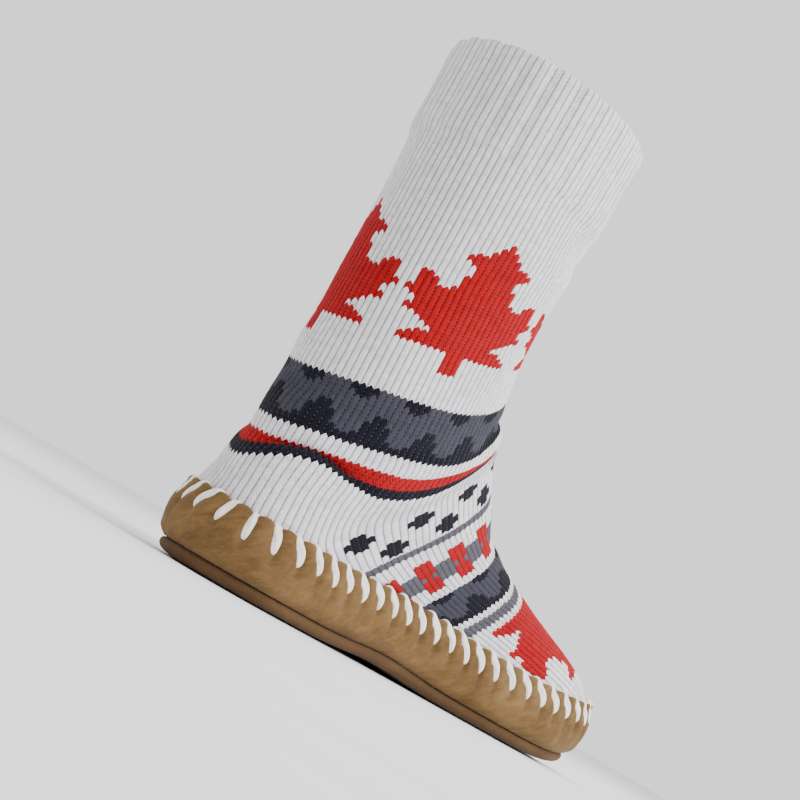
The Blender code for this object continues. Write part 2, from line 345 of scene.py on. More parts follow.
def sock_grid(upper):
    """Points on the outside of the sock, one row for each course, even round it from the middle of the front by
    the outer side, and the normals there."""
    front_y, front_z, rear_y, rear_z = side_points(np.arange(COURSES + 1.0))
    front = np.stack([0 * front_y, front_y, front_z], -1)
    rear = np.stack([0 * rear_y, rear_y, rear_z], -1)
    spine = front + SPINE_SHARE * (rear - front)
    ahead = (front - rear) / np.linalg.norm(front - rear, axis=1)[:, None]
    angle = 2 * math.pi * np.arange(RAYS) / RAYS
    ahead_share, side_share = np.cos(angle)[None, :, None], np.sin(angle)[None, :, None]
    ray = ahead_share * ahead[:, None] + side_share * np.array([1.0, 0, 0])
    points = hits(upper, spine[:, None] + RAY_REACH * ray, spine[:, None])
    reach = (SOCK_BOTTOM - spine[:, None, 2]) / np.minimum(ray[..., 2], -1e-6)
    sunk = spine[:, None] + np.clip(reach, 0, RAY_REACH)[..., None] * ray
    points = np.where(np.isnan(points), sunk, points)
    columns = WALES * COLUMNS_PER_WALE
    even = np.zeros((len(points), columns, 3))
    for k, loop in enumerate(points):
        for first, last, start in ((0, RAYS // 2, 0), (RAYS // 2, RAYS, columns // 2)):
            half = np.take(loop, np.arange(first, last + 1) % RAYS, axis=0)
            walked = np.concatenate([[0], np.cumsum(np.linalg.norm(np.diff(half, axis=0), axis=1))])
            at = np.arange(columns // 2) / (columns // 2) * walked[-1]
            for axis in range(3):
                even[k, start:start + columns // 2, axis] = np.interp(at, walked, half[:, axis])
    even = soften(even, COURSE_SOFTNESS, around=False)
    even = soften(even.transpose(1, 0, 2), ROUND_SOFTNESS, around=True).transpose(1, 0, 2)
    return even, normals_of(even)


def normals_of(grid):
    """Outward normals of a grid of points whose columns run round a tube and whose rows run down it."""
    around = np.roll(grid, -1, 1) - np.roll(grid, 1, 1)
    normal = np.cross(np.gradient(grid, axis=0), around)
    return normal / np.maximum(np.linalg.norm(normal, axis=2), 1e-12)[..., None]


def sample_rows(values, course):
    """Values of a grid of one row per course, read at fractions of a course, for each column."""
    course = np.clip(course, 0, len(values) - 1.001)
    low = np.floor(course).astype(int)
    part = (course - low)[..., None]
    column = np.arange(values.shape[1])[None, :]
    return values[low, column] * (1 - part) + values[low + 1, column] * part


def dip(course, wale):
    """How many courses the knitting hangs lower than its plane."""
    at = [course_of(band, occurrence) for band, occurrence, _ in DIPS]
    back = 1 - np.abs(wale % WALES - WALES / 2) / (WALES / 2)
    bump = back**2 * (1 - back) ** 3 / (0.4**2 * 0.6**3)
    return flow(at, [row[2] for row in DIPS], np.clip(course, at[0], at[-1])) * bump


def fold_shape(course, wale):
    """Heights of the soft troughs and ridges, and how many courses the ridges roll back up."""
    height, slide = np.zeros_like(course), np.zeros_like(course)
    for at, middle, climb, length, width, depth, lip in FOLDS:
        along = (wale - middle + WALES / 2) % WALES - WALES / 2
        across = (course - at - climb * along) / width
        window = ease(1 - np.abs(along) / length)
        height += depth * MM * window * (0.75 * np.exp(-((across - 1.6) ** 2)) - np.exp(-across**2))
        slide -= lip * window * np.exp(-(((across - 1.1) / 1.2) ** 2))
    return height, slide


def lumps(course, wale):
    """Small differences from stitch to stitch, from about -1 to 1."""
    grains = np.random.default_rng(3).normal(0, 0.5, (COURSES + 2, WALES))
    low = np.clip(np.floor(course).astype(int), 0, COURSES)
    part = course - low
    column = np.floor(wale).astype(int) % WALES
    return grains[low, column] * (1 - part) + grains[low + 1, column] * part


def unevenness(course, wale):
    """Slow waves of a hand-sized softness."""
    turn = 2 * math.pi * wale / WALES
    waves = (
        0.35 * np.sin(3 * turn + 0.050 * course)
        + 0.30 * np.sin(5 * turn - 0.083 * course + 1.3)
        + 0.25 * np.sin(8 * turn + 0.121 * course + 2.1)
        + 0.20 * np.sin(2 * turn - 0.170 * course + 0.4)
    )
    return UNEVENNESS * waves


def rib(course, wale):
    """Height of the ribs: one for each wale, and pairs of wales on the cuff."""
    part = wale % 1.0
    single = 1 - np.abs(2 * part - 1) ** 2.6
    pair = (wale / 4) % 1.0
    double = ease(1.6 - 3.4 * np.abs(pair - 0.5)) * (0.75 + 0.25 * single)
    cuff = course_of("cuff")
    on_cuff = ease((cuff - course) / 1.5 + 0.5)
    return RIB_HEIGHT * single * (1 - on_cuff) + CUFF_RIB_HEIGHT * double * on_cuff


def knit_points(base, normal, course, wale):
    """Points of the knitted surface at a grid of courses and wales."""
    chevron = CHEVRON * (2 * np.abs(2 * (wale % 1.0) - 1) - 1)
    ends = ease(course / 3) * ease((COURSES - course) / 3)
    fold, slide = fold_shape(course, wale)
    lump = lumps(course, wale) * ends
    at = course + dip(course, wale) + slide + (chevron + STITCH_WANDER * lump) * ends
    point, out = sample_rows(base, at), sample_rows(normal, at)
    out = out / np.linalg.norm(out, axis=2)[..., None]
    height = rib(course, wale) + fold + STITCH_LUMPS * lump + unevenness(course, wale) * ends
    return point + out * height[..., None], out


def yarn_at(course, wale):
    """The letter of the yarn of one stitch, by its whole course and wale."""
    for name, courses, *_ in BANDS:
        if course < courses:
            return yarn_in_band(name, course, wale)
        course -= courses
    return "w"


def yarn_in_band(name, row, wale):
    """The same, by its row in its band and its wale."""
    if name in CHARTS:
        letters = CHARTS[name][row]
        return letters[wale % len(letters)]
    from_middle = (wale - (TOE_LEAF_CENTRE if name == "toe_leaf" else LEAF_CENTRE)) % LEAF_PITCH
    from_middle = min(from_middle, LEAF_PITCH - from_middle)
    if name in ("leaf", "toe_leaf") and from_middle == LEAF_PITCH // 2:
        return "w"
    if name == "leaf":
        return LEAF_CHART[row][from_middle]
    if name == "toe_leaf":
        body = LEAF_CHART[len(LEAF_CHART) - STEM_COURSES - 1::-1]
        return body[row][from_middle] if row < len(body) else "w"
    return {"red": "R", "navy": "N", "grey": "g"}.get(name, "w")


def knit_piece(name, base, normal, first, last, finish, edge, rim=False):
    """One stretch of the sock between two courses, coloured stitch by stitch."""
    steps = (last - first) * ROWS_PER_COURSE
    columns = WALES * COLUMNS_PER_WALE
    course = first + np.arange(steps + 1)[:, None] / ROWS_PER_COURSE + np.zeros((1, columns))
    wale = np.arange(columns)[None, :] / COLUMNS_PER_WALE + np.zeros((steps + 1, 1))
    points, out = knit_points(base, normal, course, wale)
    if rim:
        points = np.concatenate([rim_rows(points[0], base[0], out[0]), points])
    rows = len(points)
    extra = rows - steps - 1
    above = points[..., 2] - edge(points[..., 0], points[..., 1]) > -HIDDEN_DEPTH
    keep = above[:-1] | above[1:]
    keep = keep | np.roll(keep, -1, 1)
    faces = grid_faces(rows, columns, keep=keep)
    piece = make_piece(name, points, faces.tolist(), finish)
    row, column = np.divmod(faces[:, 0], columns)
    stitch_course = np.maximum(first + (row - extra) // ROWS_PER_COURSE, 0)
    yarns = np.array([[YARN_COLOURS[yarn_at(c, w)] for w in range(WALES)] for c in range(COURSES)])
    shade = np.random.default_rng(7).uniform(0.90, 1.06, (COURSES + 1, WALES))
    colours = np.ones((len(faces), 4))
    colours[:, :3] = (yarns * shade[:COURSES, :, None])[stitch_course, column // COLUMNS_PER_WALE]
    layer = piece.data.color_attributes.new("yarn", "FLOAT_COLOR", "CORNER")
    layer.data.foreach_set("color", np.repeat(colours, 4, 0).astype(np.float32).ravel())
    across, down = np.array([0, 0, 1, 1]), np.array([0, 1, 1, 0])
    u = (column[:, None] + across) / COLUMNS_PER_WALE
    v = first + (row[:, None] - extra + down) / ROWS_PER_COURSE
    layer = piece.data.uv_layers.new(name="knit")
    layer.data.foreach_set("uv", np.stack([u, v], -1).astype(np.float32).ravel())
    return piece


def rim_rows(outer, plain, out):
    """Rows that carry the collar over its rounded top and a little way down behind the lining's face, from the
    inside out. plain is the collar without its ribs."""
    up = np.array([0, 0, 1.0])
    level = out * np.array([1, 1, 0])
    level /= np.linalg.norm(level, axis=1)[:, None]
    inner = plain - level * (KNIT_WALL + 0.5 * MM)
    middle, half = (outer + inner) / 2, (outer - inner) / 2
    rise = np.linalg.norm(half, axis=1)[:, None] * up
    rows = [inner + 1.0 * MM * level - 4.0 * MM * up, inner - 1.5 * MM * up]
    for angle in np.radians(np.arange(180, 0, -22.5)):
        rows.append(middle + half * math.cos(angle) + rise * math.sin(angle))
    return np.array(rows)


# Camera, floor and light

CAMERA_AZIMUTH = 228.0
CAMERA_HEIGHT = 16 * MM
CAMERA_DISTANCE = 0.95
CAMERA_ROLL = 30.0
LENS = 70.0
FRAME_FILL = 0.90


def add_camera():
    """A camera at the photographed side of the boot, just above the floor, turned and moved so that the boot
    fills the square picture."""
    data = bpy.data.cameras.new("camera")
    data.lens = LENS
    data.sensor_width = 36.0
    data.clip_start = 0.01
    camera = bpy.data.objects.new("camera", data)
    bpy.context.scene.collection.objects.link(camera)
    turn = math.radians(CAMERA_AZIMUTH)
    back = Vector((math.sin(turn), -math.cos(turn), 0.0))
    corners = []
    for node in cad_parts.values():
        corners += [v.co.copy() for v in node.data.vertices]
    aim = (CAD_LOW + CAD_HIGH) / 2
    distance = CAMERA_DISTANCE
    for _ in range(12):
        camera.location = Vector((aim.x, aim.y, 0)) + back * distance + Vector((0, 0, CAMERA_HEIGHT))
        look = (camera.location - aim).to_track_quat("Z", "Y").to_matrix()
        look = look @ Matrix.Rotation(math.radians(CAMERA_ROLL), 3, "Z")
        seen = [look.transposed() @ (corner - camera.location) for corner in corners]
        across = [p.x / -p.z for p in seen]
        upward = [p.y / -p.z for p in seen]
        middle = Vector(((max(across) + min(across)) / 2, (max(upward) + min(upward)) / 2, 0))
        aim += look @ (middle * (camera.location - aim).length)
        span = max(max(across) - min(across), max(upward) - min(upward))
        distance *= span / (FRAME_FILL * data.sensor_width / LENS)
    camera.matrix_world = Matrix.Translation(camera.location) @ look.to_4x4()
    bpy.context.scene.camera = camera
    return back


def add_area_light(name, place, aim, size, power):
    data = bpy.data.lights.new(name, "AREA")
    data.energy = power
    data.size = size
    light = bpy.data.objects.new(name, data)
    light.location = place
    light.rotation_euler = (Vector(place) - Vector(aim)).to_track_quat("Z", "Y").to_euler()
    bpy.context.scene.collection.objects.link(light)


def add_studio(back):
    right = Vector((0, 0, 1)).cross(back)
    aim = Vector((0, 0, 0.1))
    add_area_light("key", back * 0.50 + right * 1.05 + Vector((0, 0, 0.75)), aim, 0.6, 22)
    add_area_light("top", -back * 0.4 + right * 0.5 + Vector((0, 0, 1.3)), aim, 0.8, 8)
    world = bpy.data.worlds.new("studio")
    world.use_nodes = True
    world.node_tree.nodes["Background"].inputs["Color"].default_value = (1, 1, 1, 1)
    world.node_tree.nodes["Background"].inputs["Strength"].default_value = 1.35
    bpy.context.scene.world = world


def add_floor():
    mesh = bpy.data.meshes.new("floor")
    size = 6.0
    corners = [(-size, -size, 0), (size, -size, 0), (size, size, 0), (-size, size, 0)]
    mesh.from_pydata(corners, [], [(0, 1, 2, 3)])
    floor = bpy.data.objects.new("floor", mesh)
    bpy.context.scene.collection.objects.link(floor)
    made, tree, shader = new_material("floor_paper", (0.86, 0.86, 0.86), 0.85)
    speckle = noise(tree, 40.0, 3.0, 0.5)
    shader_colour(tree, shader, speckle, (0.84, 0.84, 0.84), (0.88, 0.88, 0.88))
    mesh.materials.append(made)


# Materials

def new_material(name, colour, roughness):
    made = bpy.data.materials.new(name)
    made.use_nodes = True
    made.diffuse_color = (*colour, 1)
    shader = made.node_tree.nodes["Principled BSDF"]
    shader.inputs["Base Color"].default_value = (*colour, 1)
    shader.inputs["Roughness"].default_value = roughness
    return made, made.node_tree, shader


def noise(tree, scale, detail, roughness, distortion=0.0, stretch=(1, 1, 1), turn=(0, 0, 0)):
    """Noise in the boot's own space, turned and then squeezed by stretch along the turned axes."""
    place = tree.nodes.new("ShaderNodeTexCoord")
    turned = tree.nodes.new("ShaderNodeMapping")
    turned.inputs["Rotation"].default_value = [math.radians(angle) for angle in turn]
    mapping = tree.nodes.new("ShaderNodeMapping")
    mapping.inputs["Scale"].default_value = stretch
    made = tree.nodes.new("ShaderNodeTexNoise")
    made.inputs["Scale"].default_value = scale
    made.inputs["Detail"].default_value = detail
    made.inputs["Roughness"].default_value = roughness
    made.inputs["Distortion"].default_value = distortion
    tree.links.new(place.outputs["Object"], turned.inputs["Vector"])
    tree.links.new(turned.outputs["Vector"], mapping.inputs["Vector"])
    tree.links.new(mapping.outputs["Vector"], made.inputs["Vector"])
    return made.outputs["Fac"]


def ramp(tree, value, stops):
    made = tree.nodes.new("ShaderNodeValToRGB")
    while len(made.color_ramp.elements) < len(stops):
        made.color_ramp.elements.new(0.5)
    for element, (place, colour) in zip(made.color_ramp.elements, stops):
        element.position = place
        element.color = (*colour, 1) if hasattr(colour, "__len__") else (colour, colour, colour, 1)
    tree.links.new(value, made.inputs["Fac"])
    return made.outputs["Color"]


def shader_colour(tree, shader, value, low, high):
    tree.links.new(ramp(tree, value, ((0.3, low), (0.7, high))), shader.inputs["Base Color"])


def maths(tree, operation, *values):
    made = tree.nodes.new("ShaderNodeMath")
    made.operation = operation
    for socket, value in zip(made.inputs, values):
        if isinstance(value, (int, float)):
            socket.default_value = value
        else:
            tree.links.new(value, socket)
    return made.outputs[0]


def mix_colours(tree, share, first, second, kind="MIX"):
    made = tree.nodes.new("ShaderNodeMix")
    made.data_type = "RGBA"
    made.blend_type = kind
    for socket, value in ((made.inputs[0], share), (made.inputs[6], first), (made.inputs[7], second)):
        if isinstance(value, (int, float)):
            socket.default_value = value
        elif hasattr(value, "is_output"):
            tree.links.new(value, socket)
        else:
            socket.default_value = (*value, 1)
    return made.outputs[2]


def add_bump(tree, shader, height, strength, distance):
    made = tree.nodes.new("ShaderNodeBump")
    made.inputs["Strength"].default_value = strength
    made.inputs["Distance"].default_value = distance
    tree.links.new(height, made.inputs["Height"])
    tree.links.new(made.outputs["Normal"], shader.inputs["Normal"])


def knit_material():
    """Yarn in the chart's colours, with the two legs of each stitch and loose fibres, and painted shade in the
    grooves between wales and where the loops dip.
    """
    made, tree, shader = new_material("jacquard_knit", YARN_COLOURS["w"], 0.92)
    shader.inputs["Sheen Weight"].default_value = 0.06
    shader.inputs["Sheen Roughness"].default_value = 0.5
    shader.inputs["Specular IOR Level"].default_value = 0.1
    yarn = tree.nodes.new("ShaderNodeAttribute")
    yarn.attribute_name = "yarn"
    uv = tree.nodes.new("ShaderNodeUVMap")
    uv.uv_map = "knit"
    apart = tree.nodes.new("ShaderNodeSeparateXYZ")
    tree.links.new(uv.outputs["UV"], apart.inputs["Vector"])
    part = maths(tree, "FRACT", apart.outputs["X"])
    from_middle = maths(tree, "ABSOLUTE", maths(tree, "SUBTRACT", part, 0.5))
    slanted = maths(tree, "ADD", apart.outputs["Y"], maths(tree, "MULTIPLY", from_middle, -1.1))
    loops = maths(tree, "COSINE", maths(tree, "MULTIPLY", slanted, 2 * math.pi))
    loops = maths(tree, "MULTIPLY_ADD", loops, 0.5, 0.5)
    legs = maths(tree, "SINE", maths(tree, "MULTIPLY", from_middle, 2 * math.pi))
    plies = maths(tree, "SINE", maths(tree, "MULTIPLY", slanted, 6 * math.pi))
    height = maths(tree, "ADD", maths(tree, "MULTIPLY", maths(tree, "ADD", loops, legs), 0.5),
                   maths(tree, "MULTIPLY", plies, 0.10))
    fibres = noise(tree, 1500.0, 3.0, 0.7)
    height = maths(tree, "ADD", height, maths(tree, "MULTIPLY", fibres, 0.5))
    add_bump(tree, shader, height, 0.65, 0.4 * MM)
    # Painted shade: the yarn's colour darkens towards the groove between two wales, where shade falls.
    stops = ((0.30, (1.0, 1.0, 1.0)), (0.43, (0.66, 0.64, 0.70)), (0.50, (0.36, 0.34, 0.42)))
    groove = ramp(tree, from_middle, stops)
    # Painted shade: dark bluish marks, course by course, in the grooves between wales.
    groove_shade_ticks = maths(tree, "SINE", maths(tree, "MULTIPLY", apart.outputs["Y"], 2 * math.pi))
    patchy = noise(tree, 260.0, 2.0, 0.5)
    groove_shade_ticks = maths(tree, "ADD", groove_shade_ticks, maths(tree, "MULTIPLY_ADD", patchy, 3.0, -1.5))
    in_groove = ramp(tree, from_middle, ((0.42, 0.0), (0.48, 1.0)))
    groove_shade_ticks = maths(tree, "MULTIPLY", ramp(tree, groove_shade_ticks, ((0.35, 0.0), (0.75, 1.0))), in_groove)
    # Painted shade: the colour darkens where the loops dip between courses.
    loop_dip_shade = ramp(tree, loops, ((0.0, 0.86), (0.45, 1.0)))
    colour = mix_colours(tree, 1.0, yarn.outputs["Color"], groove, "MULTIPLY")
    colour = mix_colours(tree, groove_shade_ticks, colour, (0.10, 0.08, 0.13))
    colour = mix_colours(tree, 1.0, colour, loop_dip_shade, "MULTIPLY")
    heather = ramp(tree, noise(tree, 420.0, 4.0, 0.7), ((0.25, 0.84), (0.75, 1.10)))
    colour = mix_colours(tree, 1.0, colour, heather, "MULTIPLY")
    soil = ramp(tree, noise(tree, 22.0, 2.0, 0.5), ((0.3, 0.93), (0.7, 1.0)))
    colour = mix_colours(tree, 1.0, colour, soil, "MULTIPLY")
    tree.links.new(colour, shader.inputs["Base Color"])
    return made


def lining_material():
    made, tree, shader = new_material("knit_inside", srgb(214, 210, 208), 0.95)
    shader.inputs["Sheen Weight"].default_value = 0.25
    fuzz = noise(tree, 900.0, 4.0, 0.7)
    shader_colour(tree, shader, fuzz, srgb(176, 171, 170), srgb(232, 229, 228))
    add_bump(tree, shader, fuzz, 0.6, 0.5 * MM)
    return made


NAP_TURN = (-45, 35, 0)


def suede_material():
    """Tan suede: brushed streaks that climb to the toe, blotches and a fine nap."""
    made, tree, shader = new_material("tan_suede", srgb(118, 90, 54), 0.95)
    shader.inputs["Sheen Weight"].default_value = 0.10
    shader.inputs["Sheen Roughness"].default_value = 0.4
    shader.inputs["Sheen Tint"].default_value = (1.0, 0.86, 0.66, 1)
    shader.inputs["Specular IOR Level"].default_value = 0.1
    patches = noise(tree, 34.0, 5.0, 0.62, 1.0)
    streaks = noise(tree, 330.0, 4.0, 0.62, 0.5, (1.0, 1.0, 0.13), NAP_TURN)
    nap = noise(tree, 1100.0, 4.0, 0.75, 0.4, (1.0, 1.0, 0.4), NAP_TURN)
    stops = ((0.28, srgb(91, 68, 42)), (0.52, srgb(108, 83, 52)), (0.75, srgb(125, 99, 65)))
    broad = ramp(tree, patches, stops)
    brushed = ramp(tree, streaks, ((0.30, 0.80), (0.70, 1.20)))
    fine = ramp(tree, nap, ((0.25, 0.82), (0.75, 1.14)))
    colour = mix_colours(tree, 1.0, broad, brushed, "MULTIPLY")
    tree.links.new(mix_colours(tree, 1.0, colour, fine, "MULTIPLY"), shader.inputs["Base Color"])
    grain = maths(tree, "ADD", maths(tree, "MULTIPLY", nap, 0.5), maths(tree, "MULTIPLY", streaks, 0.7))
    add_bump(tree, shader, grain, 0.5, 0.5 * MM)
    return made


def stitch_material():
    made, tree, shader = new_material("stitch_yarn", srgb(238, 235, 226), 0.85)
    shader.inputs["Sheen Weight"].default_value = 0.1
    shader.inputs["Specular IOR Level"].default_value = 0.2
    fibres = noise(tree, 1100.0, 4.0, 0.7, 0.3)
    shader_colour(tree, shader, fibres, srgb(222, 218, 208), srgb(248, 246, 240))
    add_bump(tree, shader, fibres, 0.5, 0.3 * MM)
    return made


def sole_material():
    """Brown sole cloth with fine crosswise ribs and worn patches."""
    made, tree, shader = new_material("sole_cloth", srgb(84, 57, 40), 0.85)
    shader.inputs["Sheen Weight"].default_value = 0.05
    shader.inputs["Specular IOR Level"].default_value = 0.15
    place = tree.nodes.new("ShaderNodeTexCoord")
    apart = tree.nodes.new("ShaderNodeSeparateXYZ")
    tree.links.new(place.outputs["Object"], apart.inputs["Vector"])
    ribs = maths(tree, "SINE", maths(tree, "MULTIPLY", apart.outputs["Y"], 2 * math.pi / (1.3 * MM)))
    threads = maths(tree, "SINE", maths(tree, "MULTIPLY", apart.outputs["X"], 2 * math.pi / (0.8 * MM)))
    height = maths(tree, "ADD", maths(tree, "MULTIPLY", ribs, 0.5), maths(tree, "MULTIPLY", threads, 0.3))
    wear = noise(tree, 45.0, 5.0, 0.6)
    height = maths(tree, "ADD", height, maths(tree, "MULTIPLY", noise(tree, 900.0, 4.0, 0.7), 0.8))
    tree.links.new(
        ramp(tree, wear, ((0.3, srgb(72, 51, 31)), (0.6, srgb(88, 64, 39)), (0.8, srgb(103, 78, 49)))),
        shader.inputs["Base Color"],
    )
    add_bump(tree, shader, height, 0.35, 0.25 * MM)
    return made


def dot_material():
    made, tree, shader = new_material("grip_dots", srgb(54, 38, 27), 0.5)
    grain = noise(tree, 800.0, 3.0, 0.6)
    shader_colour(tree, shader, grain, srgb(46, 32, 23), srgb(64, 46, 33))
    add_bump(tree, shader, grain, 0.3, 0.1 * MM)
    return made


def fleece_material():
    made, tree, shader = new_material("fleece", srgb(224, 218, 208), 1.0)
    shader.inputs["Sheen Weight"].default_value = 0.4
    curls = noise(tree, 420.0, 5.0, 0.65, 0.8)
    shader_colour(tree, shader, curls, srgb(196, 188, 176), srgb(236, 231, 222))
    add_bump(tree, shader, curls, 0.9, 1.0 * MM)
    return made


# Suede bottom

WALL_COLUMNS = STITCHES * COLUMNS_PER_STITCH


class Bottom:
    """Outline of the foot at the suede wall, read from the frame: places round it, square directions, heights
    of the seam and of the edge, and how far the knit and the wall's face stand out."""

    def __init__(self, upper, side_wall):
        middle = (CAD_LOW + CAD_HIGH) / 2
        long, wide = (CAD_HIGH.y - CAD_LOW.y) / 2, (CAD_HIGH.x - CAD_LOW.x) / 2
        angle = 2 * math.pi * np.arange(1440) / 1440
        ray = np.stack([wide * np.sin(angle), -long * np.cos(angle), 0 * angle], -1)
        low = np.array([middle.x, middle.y, 26 * MM])
        loop = hits(upper, low + 1.6 * ray, low)
        loop = soften(loop, 6.0, around=True)
        closed = np.concatenate([loop, loop[:1]])
        walked = np.concatenate([[0], np.cumsum(np.linalg.norm(np.diff(closed, axis=0), axis=1))])
        self.round = walked[-1]
        at = np.arange(WALL_COLUMNS) / WALL_COLUMNS * walked[-1]
        self.place = np.stack([np.interp(at, walked, closed[:, k]) for k in (0, 1)], -1)
        along = np.roll(self.place, -1, 0) - np.roll(self.place, 1, 0)
        out = np.stack([along[:, 1], -along[:, 0]], -1)
        self.out = out / np.linalg.norm(out, axis=1)[:, None]
        self.read_heights(middle, long, wide)
        self.read_sections(upper, side_wall)

    def read_heights(self, middle, long, wide):
        spots = np.array([v.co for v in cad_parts["side_wall"].data.vertices])
        turn = np.arctan2((spots[:, 0] - middle.x) / wide, -(spots[:, 1] - middle.y) / long)
        mine = np.arctan2((self.place[:, 0] - middle.x) / wide, -(self.place[:, 1] - middle.y) / long)
        apart = np.abs((mine[:, None] - turn[None] + math.pi) % (2 * math.pi) - math.pi)
        near = apart < math.radians(4)
        heights = spots[None, :, 2]
        self.seam = soften(np.where(near, heights, 9).min(1), 12, around=True)
        self.edge = soften(np.where(near, heights, -9).max(1), 12, around=True)
        degrees, leans = zip(*LEANS)
        self.lean = flow(degrees, leans, np.degrees(mine) % 360) / (self.round / WALL_COLUMNS)

    def read_sections(self, upper, side_wall):
        """Distances of the knit and of the wall's face from the outline, at shares of the wall's height."""
        shares = np.array(WALL_SHARES)
        z = self.seam[None] + shares[:, None] * (self.edge - self.seam)[None]
        near = np.concatenate([np.broadcast_to(self.place, z.shape + (2,)), z[..., None]], -1)
        side = np.concatenate([self.out, 0 * self.out[:, :1]], -1)[None]
        inner, outer = near - 0.02 * side, near + 0.03 * side
        reach = []
        for tree in (upper, side_wall):
            found = hits(tree, outer, inner)
            gap = ((found - near) * side).sum(-1)
            reach.append(self.filled(gap))
        self.knit, self.face = reach

    def filled(self, gap):
        """The same table with its misses taken from their neighbours, and softened along the edge."""
        for row in gap:
            bad = np.isnan(row)
            if bad.any() and not bad.all():
                good = np.flatnonzero(~bad)
                row[bad] = np.interp(np.flatnonzero(bad), good, row[good], period=len(row))
        for k in range(len(gap)):
            if np.isnan(gap[k]).any():
                gap[k] = gap[k - 1] if k else gap[k + 1]
        return np.stack([soften(row, 8, around=True) for row in gap])

    def at(self, table, column, share):
        """A table's value at a column (it may be a fraction) and a share of the wall's height."""
        values = self.around(table.T, column)
        rows = np.interp(share, WALL_SHARES, np.arange(len(WALL_SHARES)))
        low = np.clip(np.floor(rows).astype(int), 0, len(WALL_SHARES) - 2)
        part = rows - low
        lower, upper = (np.take_along_axis(values, (low + k)[..., None], -1)[..., 0] for k in (0, 1))
        return lower * (1 - part) + upper * part

    def around(self, values, column):
        """A value for each column, read at fractions of a column."""
        column = np.mod(column, WALL_COLUMNS)
        left = np.floor(column).astype(int) % WALL_COLUMNS
        slide = column - np.floor(column)
        if values.ndim == 2:
            slide = slide[..., None]
        return values[left] * (1 - slide) + values[(left + 1) % WALL_COLUMNS] * slide


def swept(bottom, column, run):
    """How many columns a stitch has moved along the edge when it has gone a share of its way down. It starts
    nearly along the edge and turns down."""
    run = np.clip(run, 0, 1)
    return bottom.around(bottom.lean, column) * (STITCH_SWEEP * run + STITCH_CURL * (1 - (1 - run) ** 4.5))


def phase_of(column):
    """Place between two stitches: 0 at a stitch, and half of one on either side midway."""
    return (column / COLUMNS_PER_STITCH + 0.5) % 1.0 - 0.5


def wall_surface(bottom, column, share):
    """Points on the face of the suede, and their outward directions, at columns and shares of the wall's
    height. The stitches pull it in along their curved lines, and it swells in lobes between them."""
    seam, edge = bottom.around(bottom.seam, column), bottom.around(bottom.edge, column)
    below = (edge - seam) * (1 - share)
    phase = phase_of(column - swept(bottom, column, below / STITCH_DEPTH))
    lobe = 1 - (1 - 2 * np.abs(phase)) ** 2
    groove = np.exp(-((phase / 0.15) ** 2))
    fade = ease((1.75 - below / STITCH_DEPTH) / 0.9)
    waves = np.sin(column * 2 * math.pi / WALL_COLUMNS * WALL_WAVES + 4 * share)
    uneven = WALL_UNEVENNESS * waves * ease(4 * share * (1 - share))
    tucked = SEAM_TUCK * (1 - np.sqrt(1 - (1 - np.clip(share / 0.14, 0, 1)) ** 2 + 1e-9))
    face = bottom.at(bottom.face, column, share) + (BULGE * lobe - PUCKER * groove) * fade + uneven - tucked
    z = seam + share * (edge - EDGE_DIP * (1 - 2 * np.abs(phase_of(column))) ** 2 - seam)
    place, out = bottom.around(bottom.place, column), bottom.around(bottom.out, column)
    flat = place + out * face[..., None]
    return np.concatenate([flat, z[..., None]], -1), np.concatenate([out, 0 * z[..., None]], -1)


def edge_width(bottom, column):
    """Distance from the face of the suede to the knit at the edge."""
    top = np.ones_like(column)
    gap = bottom.at(bottom.face, column, top) - bottom.at(bottom.knit, column, top)
    return np.maximum(gap, EDGE_THICKNESS)


def suede_wall(bottom, finish):
    """The wall from the seam up its face, over its rounded edge and down behind it to the knit."""
    column = np.arange(WALL_COLUMNS, dtype=float)
    rows = []
    for k in range(WALL_ROWS + 1):
        top, out = wall_surface(bottom, column, np.full(WALL_COLUMNS, k / WALL_ROWS))
        rows.append(top)
    across = edge_width(bottom, column)[:, None] * out
    up = np.array([0, 0, 1.0])
    for k in range(1, EDGE_ROWS + 1):
        angle = math.pi * k / EDGE_ROWS
        rows.append(top - across * (1 - math.cos(angle)) / 2 + 0.5 * EDGE_THICKNESS * math.sin(angle) * up)
    rows.append(rows[-1] - 4 * MM * up)
    rows.insert(0, rows[0] - 2.5 * MM * out + 0.3 * MM * up)
    points = np.array(rows)
    faces = grid_faces(len(rows), WALL_COLUMNS, flip=True)
    piece = make_piece("suede_wall", points, faces.tolist(), finish)
    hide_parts("side_wall")


STRANDS = 3
STRAND_SIDES = 8
STITCH_RINGS = 24
OVER_SHARE = 0.42


